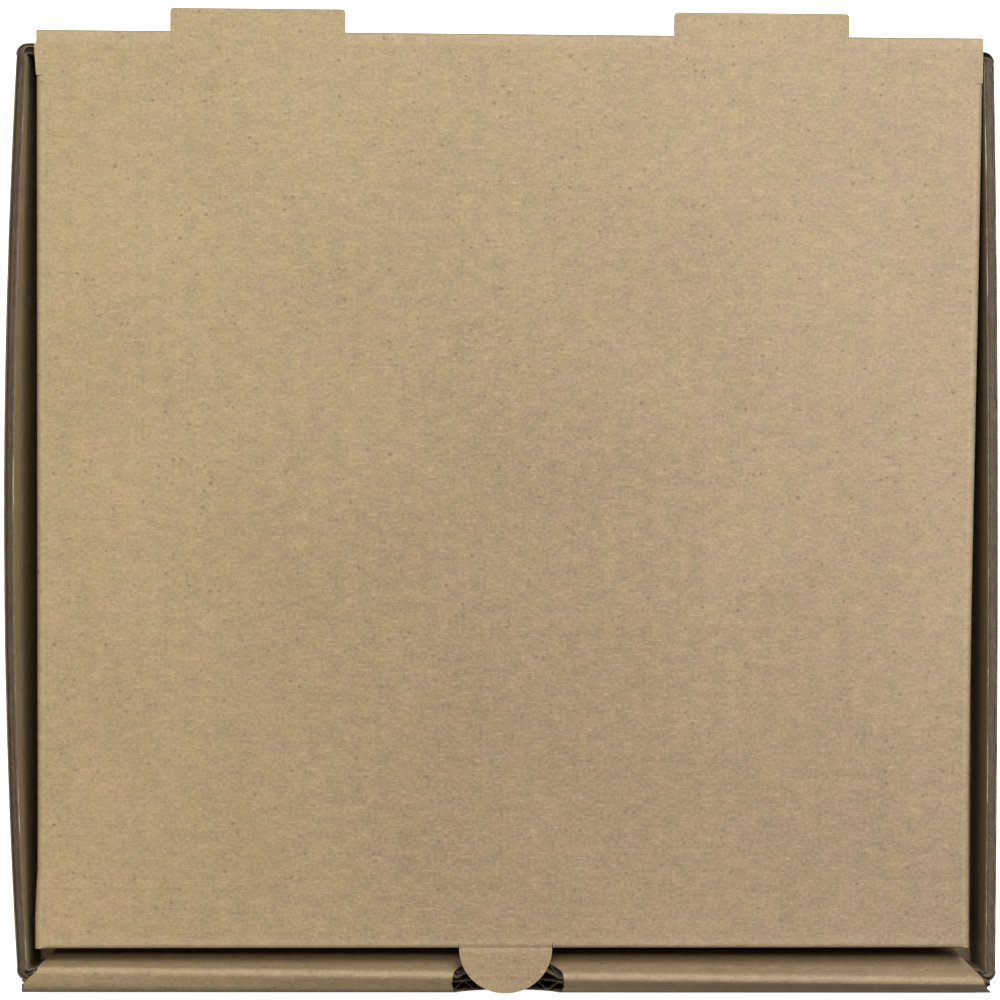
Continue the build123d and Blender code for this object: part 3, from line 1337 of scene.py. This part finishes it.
class Graph:
    """Adds nodes to a node tree and wires them in one step."""

    def __init__(self, tree: bpy.types.NodeTree) -> None:
        """Takes the tree that the nodes go in."""
        self.tree = tree

    def add(
        self, kind: str, values: dict[str | int, Value] | None = None, **settings: object
    ) -> bpy.types.Node:
        """Adds one node.

        Args:
            kind: the node's type name.
            values: what goes in each input, a constant or another node's output.
            settings: the node's own properties.

        Returns:
            The new node.
        """
        node = self.tree.nodes.new(kind)
        for name, setting in settings.items():
            setattr(node, name, setting)
        for key, value in (values or {}).items():
            if isinstance(value, bpy.types.NodeSocket):
                self.tree.links.new(value, node.inputs[key])
            else:
                node.inputs[key].default_value = value
        return node

    def link(self, source: bpy.types.NodeSocket, target: bpy.types.NodeSocket) -> None:
        """Wires an output to an input."""
        self.tree.links.new(source, target)

    def math(self, operation: str, first: Value, second: Value = 0.0) -> bpy.types.NodeSocket:
        """Result of an operation on one or two values."""
        return self.add("ShaderNodeMath", {0: first, 1: second}, operation=operation).outputs[0]

    def times(self, first: Value, second: Value) -> bpy.types.NodeSocket:
        """Product of two values."""
        return self.math("MULTIPLY", first, second)

    def total(self, shares: Iterable[tuple[Value, Value]]) -> bpy.types.NodeSocket:
        """Sum of (value, factor) products."""
        products = (self.times(value, factor) for value, factor in shares)
        return reduce(lambda total, product: self.math("ADD", total, product), products)

    def vector(self, operation: str, *values: Value, output: int = 0) -> bpy.types.NodeSocket:
        """Result of an operation on vectors."""
        node = self.add("ShaderNodeVectorMath", dict(enumerate(values)), operation=operation)
        return node.outputs[output]

    def noise(
        self, place: Value, scale: float, detail: float = 2.0, rough: float = 0.5
    ) -> bpy.types.NodeSocket:
        """Noise of the given number of spots per metre, about 0.5 on average."""
        values = {"Vector": place, "Scale": scale, "Detail": detail, "Roughness": rough}
        return self.add("ShaderNodeTexNoise", values).outputs["Fac"]

    def stretch(self, place: Value, factors: Triple) -> bpy.types.NodeSocket:
        """The place with each of its axes scaled."""
        return self.vector("MULTIPLY", place, factors)

    def remap(
        self, value: Value, source: tuple[float, float], target: tuple[float, float] = (0.0, 1.0)
    ) -> bpy.types.NodeSocket:
        """Value moved, and held, from one range to another."""
        values = dict(enumerate((value, *source, *target)))
        return self.add("ShaderNodeMapRange", values).outputs[0]

    def mix(self, share: Value, first: Value, second: Value, kind: str = "MIX") -> bpy.types.NodeSocket:
        """Colour the given share of the way between two colours."""
        values = {0: share, 6: first, 7: second}
        return self.add("ShaderNodeMix", values, data_type="RGBA", blend_type=kind).outputs[2]


def effect(name: str, inputs: Sequence[str], outputs: Sequence[str]) -> tuple[Graph, Sockets, Sockets]:
    """Starts a shader node group.

    Args:
        name: the group's name.
        inputs: its inputs: "Place" is a vector, any other a value.
        outputs: its outputs, all values.

    Returns:
        The graph to fill, the inputs' sockets and the sockets that take the outputs.
    """
    tree = bpy.data.node_groups.new(name, "ShaderNodeTree")
    for label in inputs:
        kind = "NodeSocketVector" if label == "Place" else "NodeSocketFloat"
        tree.interface.new_socket(name=label, in_out="INPUT", socket_type=kind)
    for label in outputs:
        tree.interface.new_socket(name=label, in_out="OUTPUT", socket_type="NodeSocketFloat")
    entry, leave = tree.nodes.new("NodeGroupInput"), tree.nodes.new("NodeGroupOutput")
    return (
        Graph(tree),
        {label: entry.outputs[label] for label in inputs},
        {label: leave.inputs[label] for label in outputs},
    )


def new_material(name: str) -> tuple[bpy.types.Material, Graph]:
    """Starts a material.

    Args:
        name: the material's name.

    Returns:
        The material and its empty graph.
    """
    material = bpy.data.materials.new(name)
    material.use_nodes = True
    material.node_tree.nodes.clear()
    return material, Graph(material.node_tree)


def surface(graph: Graph, values: dict[str | int, Value]) -> None:
    """Ends a material's graph with one shader that takes the given values."""
    shader = graph.add("ShaderNodeBsdfPrincipled", values)
    graph.add("ShaderNodeOutputMaterial", {"Surface": shader.outputs[0]})


def paper_tone() -> bpy.types.NodeTree:
    """Makes the uneven tone of kraft paper: broad clouds, a close mottle, fine grain and hue.

    Returns:
        The node group.
    """
    graph, given, wanted = effect("paper_tone", ["Place"], ["Cloud", "Mottle", "Grain", "Hue"])
    place, either_way = given["Place"], (-1.0, 1.0)
    drawn = graph.stretch(place, (0.7, 1.0, 1.0))
    cloud = graph.noise(place, scale=24.0, detail=2.0, rough=0.6)
    mottle = graph.noise(drawn, scale=300.0, detail=4.0, rough=0.68)
    grain = graph.noise(place, scale=1100.0, detail=2.0, rough=0.75)
    hue = graph.noise(graph.stretch(drawn, (1.0, -1.0, 1.0)), scale=150.0, detail=3.0, rough=0.6)
    graph.link(graph.remap(hue, (0.36, 0.64)), wanted["Hue"])
    graph.link(graph.remap(cloud, (0.3, 0.7), either_way), wanted["Cloud"])
    graph.link(graph.remap(mottle, (0.28, 0.72), either_way), wanted["Mottle"])
    graph.link(graph.remap(grain, (0.25, 0.75), either_way), wanted["Grain"])
    return graph.tree


def paper_flecks() -> bpy.types.NodeTree:
    """Makes masks of the dark specks and pale fibres that lie in the paper.

    Returns:
        The node group.
    """
    graph, given, wanted = effect("paper_flecks", ["Place", "Amount"], ["Specks", "Fibres"])
    bend, speck_cells, speck_stretch = (0.7 * MM, 0.7 * MM, 0.0), 640.0, (0.8, 1.0, 1.0)
    bends = graph.add("ShaderNodeTexNoise", {"Vector": given["Place"], "Scale": 500.0})
    bent = graph.vector("MULTIPLY_ADD", bends.outputs["Color"], bend, given["Place"])
    cells = graph.add(
        "ShaderNodeTexVoronoi",
        {"Vector": graph.stretch(bent, speck_stretch), "Scale": speck_cells},
    )
    chances = graph.add("ShaderNodeSeparateColor", {0: cells.outputs["Color"]}).outputs
    picked = graph.math("LESS_THAN", chances[0], given["Amount"])
    size = graph.remap(chances[1], (0.0, 1.0), (0.10, 0.38))
    inside = graph.math("SUBTRACT", size, cells.outputs["Distance"])
    speck = graph.times(graph.remap(inside, (0.0, 0.16)), picked)
    strength = graph.remap(chances[2], (0.0, 1.0), (0.35, 1.0))
    graph.link(graph.times(speck, strength), wanted["Specks"])
    threads = graph.noise(graph.stretch(bent, (0.22, 1.0, 1.0)), scale=1500.0, detail=1.0, rough=0.4)
    graph.link(graph.remap(threads, (0.6, 0.72)), wanted["Fibres"])
    return graph.tree


def flute_lines() -> bpy.types.NodeTree:
    """Makes the lines, from -1 to 1, where the medium shows through the liner it is glued to.

    Returns:
        The node group.
    """
    graph, given, wanted = effect("flute_lines", ["Place", "Pitch"], ["Line"])
    across = graph.add("ShaderNodeSeparateXYZ", {0: given["Place"]}).outputs[0]
    turns = graph.math("DIVIDE", across, given["Pitch"])
    wave = graph.math("SINE", graph.times(turns, math.tau))
    strength = graph.remap(graph.noise(given["Place"], scale=18.0), (0.35, 0.65), (0.35, 1.0))
    graph.link(graph.times(wave, strength), wanted["Line"])
    return graph.tree


def fold_wear() -> bpy.types.NodeTree:
    """Makes masks of paper that is rubbed pale with a painted highlight, and of paper that is cracked,
    along a fold.

    Returns:
        The node group.
    """
    graph, given, wanted = effect("fold_wear", ["Place", "Crease"], ["Rub", "Crack"])
    streaks = graph.noise(given["Place"], scale=420.0, detail=3.0, rough=0.6)
    # Paler paper along folds: partly rubbed wear, partly a painted highlight on the fold.
    rub_and_highlight = graph.times(given["Crease"], graph.remap(streaks, (0.35, 0.7), (0.25, 1.0)))
    graph.link(rub_and_highlight, wanted["Rub"])
    tears = graph.noise(given["Place"], scale=1300.0, detail=2.0, rough=0.6)
    near = graph.remap(given["Crease"], (0.5, 1.0))
    graph.link(graph.times(near, graph.remap(tears, (0.56, 0.66))), wanted["Crack"])
    return graph.tree


@dataclass(frozen=True)
class Effects:
    """Node groups that the finishes share."""

    tone: bpy.types.NodeTree
    flecks: bpy.types.NodeTree
    lines: bpy.types.NodeTree
    wear_and_highlight: bpy.types.NodeTree


def tint(colour: Colour, factor: float) -> Colour:
    """A colour made lighter or darker."""
    return (colour[0] * factor, colour[1] * factor, colour[2] * factor, 1.0)


@dataclass(frozen=True)
class KraftLiner:
    """Face of the board: brown kraft paper with specks, fibres, mottle, and folds rubbed pale with a
    painted highlight.

    Each painted light tint is a slight change of colour over the sheet, from its left to its right
    and then from its front to its rear: cooler to the right and rear, as the lamps' light there.
    Each painted shade patch is a broad darker patch, mostly for the light falling off towards the
    front, as (depth, middle, spread).
    """

    name: str = "kraft_liner"
    base: Colour = (0.296, 0.215, 0.114, 1.0)
    greener: Colour = (0.975, 1.005, 0.95, 1.0)
    pinker: Colour = (1.02, 0.99, 1.02, 1.0)
    speck: Colour = (0.14, 0.092, 0.05, 1.0)
    fibre: Colour = (0.44, 0.345, 0.22, 1.0)
    # Pale colour of rubbed paper along folds, which also serves as a painted highlight on the folds.
    rub_and_highlight_colour: Colour = (0.44, 0.35, 0.225, 1.0)
    # Painted light: cooler tint towards the right and the rear, warmer towards the left and the front.
    painted_light_tints: tuple[tuple[Colour, Colour], ...] = (
        ((1.0, 0.998, 0.92, 1.0), (1.0, 1.002, 1.09, 1.0)),
        ((1.015, 0.975, 0.97, 1.0), (0.995, 1.005, 1.01, 1.0)),
    )
    painted_light_reach: float = 0.12
    tone_range: float = 0.4
    clouds: float = 0.045
    mottle: float = 0.13
    grain: float = 0.19
    line: float = 0.012
    # Painted shade: broad darker patches towards the front and middle of the lid, mostly for the light
    # falling off away from the rear.
    painted_shade_patches: tuple[tuple[float, Triple, Triple], ...] = (
        (0.20, (0.0, -0.055, 0.0), (0.085, 0.14, 1.0)),
        (0.14, (0.112, -0.108, 0.0), (0.06, 0.075, 1.0)),
    )
    speck_amount: float = 0.45
    speck_strength: float = 0.62
    fibre_strength: float = 0.25
    # Strength of the paler rubbed folds, including their painted highlight.
    rub_and_highlight: float = 0.26
    crack: float = 0.06
    mottle_height: float = 0.03 * MM
    grain_height: float = 0.022 * MM
    fibre_height: float = 0.02 * MM
    line_height: float = 0.04 * MM
    crack_height: float = -0.03 * MM
    roughness: float = 0.74
    roughness_swing: float = 0.06

    @staticmethod
    def painted_shade(graph: Graph, place: Value, middle: Triple, spread: Triple) -> bpy.types.NodeSocket:
        """Makes the mask of one patch of painted shade, which fades out from its middle.

        Args:
            graph: where its nodes go.
            place: the place on the sheet.
            middle: the patch's middle.
            spread: how far it reaches along each axis.

        Returns:
            The mask.
        """
        offset = graph.vector("DIVIDE", graph.vector("SUBTRACT", place, middle), spread)
        distance = graph.vector("DOT_PRODUCT", offset, offset, output=1)
        return graph.math("EXPONENT", graph.times(distance, -1.0))

    def build(self, effects: Effects, board: Board) -> bpy.types.Material:
        """Makes the material.

        Args:
            effects: the shared node groups.
            board: gives the flutes' pitch.

        Returns:
            The material, which reads the UV map "sheet" and the attribute "crease".
        """
        material, graph = new_material(self.name)
        place = graph.add("ShaderNodeUVMap", uv_map="sheet").outputs[0]
        crease = graph.add("ShaderNodeAttribute", attribute_name="crease").outputs["Fac"]
        tone, flecks, lines, wear_and_highlight = (
            graph.add("ShaderNodeGroup", {"Place": place, **values}, node_tree=group).outputs
            for group, values in (
                (effects.tone, {}),
                (effects.flecks, {"Amount": self.speck_amount}),
                (effects.lines, {"Pitch": board.pitch}),
                (effects.wear_and_highlight, {"Crease": crease}),
            )
        )
        light = graph.total((
            (tone["Cloud"], self.clouds),
            (tone["Mottle"], self.mottle),
            (tone["Grain"], self.grain),
            (lines["Line"], self.line),
        ))
        # Painted shade: darken the patches towards the front of the lid.
        for depth, middle, spread in self.painted_shade_patches:
            painted_shade = self.painted_shade(graph, place, middle, spread)
            light = graph.math("SUBTRACT", light, graph.times(painted_shade, depth))
        share = graph.remap(light, (-self.tone_range, self.tone_range))
        low, high = tint(self.base, 1 - self.tone_range), tint(self.base, 1 + self.tone_range)
        colour = graph.mix(share, low, high)
        hue = graph.mix(tone["Hue"], self.greener, self.pinker)
        colour = graph.mix(1.0, colour, hue, "MULTIPLY")
        axes = graph.add("ShaderNodeSeparateXYZ", {0: place}).outputs
        # Painted light: the lamps' cool and warm tints, laid over the sheet's colour.
        for axis, (first, last) in enumerate(self.painted_light_tints):
            share = graph.remap(axes[axis], (-self.painted_light_reach, self.painted_light_reach))
            colour = graph.mix(1.0, colour, graph.mix(share, first, last), "MULTIPLY")
        # Laid over the paper: specks, fibres, paler rubbed folds that carry a painted highlight, and
        # cracks.
        for mask, strength, laid_over in (
            (flecks["Specks"], self.speck_strength, self.speck),
            (flecks["Fibres"], self.fibre_strength, self.fibre),
            (wear_and_highlight["Rub"], self.rub_and_highlight, self.rub_and_highlight_colour),
            (wear_and_highlight["Crack"], self.crack, self.speck),
        ):
            colour = graph.mix(graph.times(mask, strength), colour, laid_over)
        height = graph.total((
            (tone["Mottle"], self.mottle_height),
            (tone["Grain"], self.grain_height),
            (flecks["Fibres"], self.fibre_height),
            (lines["Line"], self.line_height),
            (wear_and_highlight["Crack"], self.crack_height),
        ))
        bump = graph.add("ShaderNodeBump", {"Strength": 0.75, "Distance": 1.0, "Height": height})
        roughness = (self.roughness - self.roughness_swing, self.roughness + self.roughness_swing)
        surface(graph, {
            "Base Color": colour,
            "Roughness": graph.remap(tone["Mottle"], (-1.0, 1.0), roughness),
            "Specular IOR Level": 0.4,
            "Normal": bump.outputs[0],
        })
        return material


@dataclass(frozen=True)
class CutPaper:
    """Cut edges and medium: bare, fuzzy fibres, darker than the liner's face, partly as painted shade
    of the hollow flutes.
    """

    name: str
    base: Colour
    torn: Colour
    spread: float
    scale: float
    torn_share: float
    grain: float = 0.4
    mottle: float = 0.6
    height: float = 0.09 * MM
    roughness: float = 0.95

    def build(self, effects: Effects) -> bpy.types.Material:
        """Makes the material.

        Args:
            effects: the shared node groups.

        Returns:
            The material, which reads Object coordinates.
        """
        material, graph = new_material(self.name)
        place = graph.add("ShaderNodeTexCoord").outputs["Object"]
        tone = graph.add("ShaderNodeGroup", {"Place": place}, node_tree=effects.tone).outputs
        patches = graph.noise(graph.stretch(place, (1.0, 0.35, 1.0)), self.scale, 3.0, 0.65)
        light = graph.total(((tone["Grain"], self.grain), (tone["Mottle"], self.mottle)))
        low, high = tint(self.base, 1 - self.spread), tint(self.base, 1 + self.spread)
        colour = graph.mix(graph.remap(light, (-1.0, 1.0)), low, high)
        torn = graph.times(graph.remap(patches, (0.54, 0.66)), self.torn_share)
        height = graph.times(graph.math("ADD", tone["Grain"], patches), self.height)
        bump = graph.add("ShaderNodeBump", {"Strength": 0.9, "Distance": 1.0, "Height": height})
        surface(graph, {
            "Base Color": graph.mix(torn, colour, self.torn),
            "Roughness": self.roughness,
            "Specular IOR Level": 0.15,
            "Normal": bump.outputs[0],
        })
        return material


# ---------------------------------------------------------------------------------------------
# Studio
# ---------------------------------------------------------------------------------------------


@dataclass(frozen=True)
class SoftLight:
    """One square area light, aimed at a point of the box."""

    name: str
    place: Triple
    aim: Triple
    size: float
    power: float
    colour: Triple

    def build(self) -> None:
        """Adds the light to the scene."""
        data = bpy.data.lights.new(self.name, "AREA")
        data.shape = "SQUARE"
        data.size = self.size
        data.energy = self.power
        data.color = self.colour
        lamp = bpy.data.objects.new(self.name, data)
        toward = Vector(self.aim) - Vector(self.place)
        turn = toward.to_track_quat("-Z", "Y").to_matrix().to_4x4()
        lamp.matrix_world = Matrix.Translation(self.place) @ turn
        bpy.context.scene.collection.objects.link(lamp)


@dataclass(frozen=True)
class Studio:
    """Pale floor, soft light from above and the rear, and a camera straight above."""

    camera_place: Triple = (-0.00201, 0.00339, 1.5)
    camera_turn: float = math.radians(0.259)
    lens: float = 199.7
    sensor_width: float = 36.0
    view_reach: float = 20.0
    floor_size: float = 6.0
    floor_colour: Colour = (0.93, 0.93, 0.92, 1.0)
    floor_bounce: float = 0.3
    floor_glow: float = 0.88
    ambient: float = 0.19
    lights: tuple[SoftLight, ...] = (
        SoftLight(
            "key", place=(0.24, 0.42, 0.95), aim=(0.0, 0.03, 0.03), size=0.34,
            power=8.4, colour=(0.93, 1.0, 1.10),
        ),
        SoftLight(
            "softbox", place=(-0.05, 0.45, 2.1), aim=(0.0, 0.0, 0.0), size=0.9,
            power=35.2, colour=(1.03, 1.0, 0.95),
        ),
    )

    def lay_floor(self) -> None:
        """Lays the floor, which shines for the camera only and sends little light back up."""
        ground = bmesh.new()
        bmesh.ops.create_grid(ground, x_segments=1, y_segments=1, size=self.floor_size / 2)
        floor = new_object("floor", ground)
        material, graph = new_material("floor")
        place = graph.add("ShaderNodeTexCoord").outputs["Object"]
        patches = graph.noise(place, scale=6.0, detail=3.0)
        tone = graph.mix(patches, tint(self.floor_colour, 0.99), self.floor_colour)
        seen = graph.add("ShaderNodeLightPath").outputs["Is Camera Ray"]
        surface(graph, {
            "Base Color": graph.mix(seen, tint(self.floor_colour, self.floor_bounce), tone),
            "Roughness": 0.9,
            "Specular IOR Level": 0.1,
            "Emission Color": (1.0, 1.0, 1.0, 1.0),
            "Emission Strength": graph.times(seen, self.floor_glow),
        })
        floor.data.materials.append(material)

    def set_camera(self) -> None:
        """Sets the camera above the box."""
        data = bpy.data.cameras.new("camera")
        data.lens = self.lens
        data.sensor_width = self.sensor_width
        data.clip_end = self.view_reach
        camera = bpy.data.objects.new("camera", data)
        camera.location = self.camera_place
        camera.rotation_euler = (0.0, 0.0, self.camera_turn)
        bpy.context.scene.collection.objects.link(camera)
        bpy.context.scene.camera = camera

    def build(self) -> None:
        """Sets up floor, lights, sky and camera."""
        scene = bpy.context.scene
        world = bpy.data.worlds.new("sky")
        world.use_nodes = True
        sky = next(node for node in world.node_tree.nodes if node.type == "BACKGROUND")
        sky.inputs["Color"].default_value = (1.0, 1.0, 1.0, 1.0)
        sky.inputs["Strength"].default_value = self.ambient
        scene.world = world
        scene.view_settings.view_transform = "Standard"
        self.lay_floor()
        for light in self.lights:
            light.build()
        self.set_camera()


def main() -> None:
    """Builds the pizza box, its finishes and the studio."""
    logging.basicConfig(level=logging.INFO, format="%(message)s")
    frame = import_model()
    tray_low, tray_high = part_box("tray")
    lid_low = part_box("lid")[0]
    hinge = next(joint for joint in frame["joints"] if joint["name"] == "lid_hinge")
    rear, top = hinge["pos_m"][1], hinge["pos_m"][2]
    board = Board()
    bows = (4.2 * MM, 0.9 * MM)
    tray = Tray(
        board,
        front_face=-tray_low.y,
        rear_face=rear,
        side_face=tray_high.x - bows[1],
        top=top,
        lid_edge=-lid_low.x,
        crease_reach=3.2 * MM,
        bows=bows,
    )
    lid = Lid(board, tray, rear_edge=tray.lid_edge)
    pieces = [tray.build(), lid.build(), HingeCrease(board, tray).build()]
    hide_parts("tray")
    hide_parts("lid")
    effects = Effects(paper_tone(), paper_flecks(), flute_lines(), fold_wear())
    # Cut edges: the dark base is partly bare fibres and partly painted shade of the open flutes; torn
    # fibres are lighter.
    edge = CutPaper(
        "cut_edge", base=(0.13, 0.10, 0.07, 1.0), torn=(0.46, 0.38, 0.26, 1.0),
        spread=0.35, scale=160.0, torn_share=0.6,
    )
    # Fluting: its dark base colour is painted shade, since it is only seen inside the flutes.
    medium = CutPaper(
        "fluting", base=(0.12, 0.09, 0.06, 1.0), torn=(0.20, 0.15, 0.10, 1.0),
        spread=0.3, scale=200.0, torn_share=0.3,
    )
    finishes = [KraftLiner().build(effects, board), edge.build(effects), medium.build(effects)]
    for piece in pieces:
        for finish in finishes:
            piece.data.materials.append(finish)
        triangles = sum(len(face.vertices) - 2 for face in piece.data.polygons)
        log.info("%s: %d triangles", piece.name, triangles)
    Studio().build()
    log.info("studio ready")


if __name__ == "__main__":
    main()
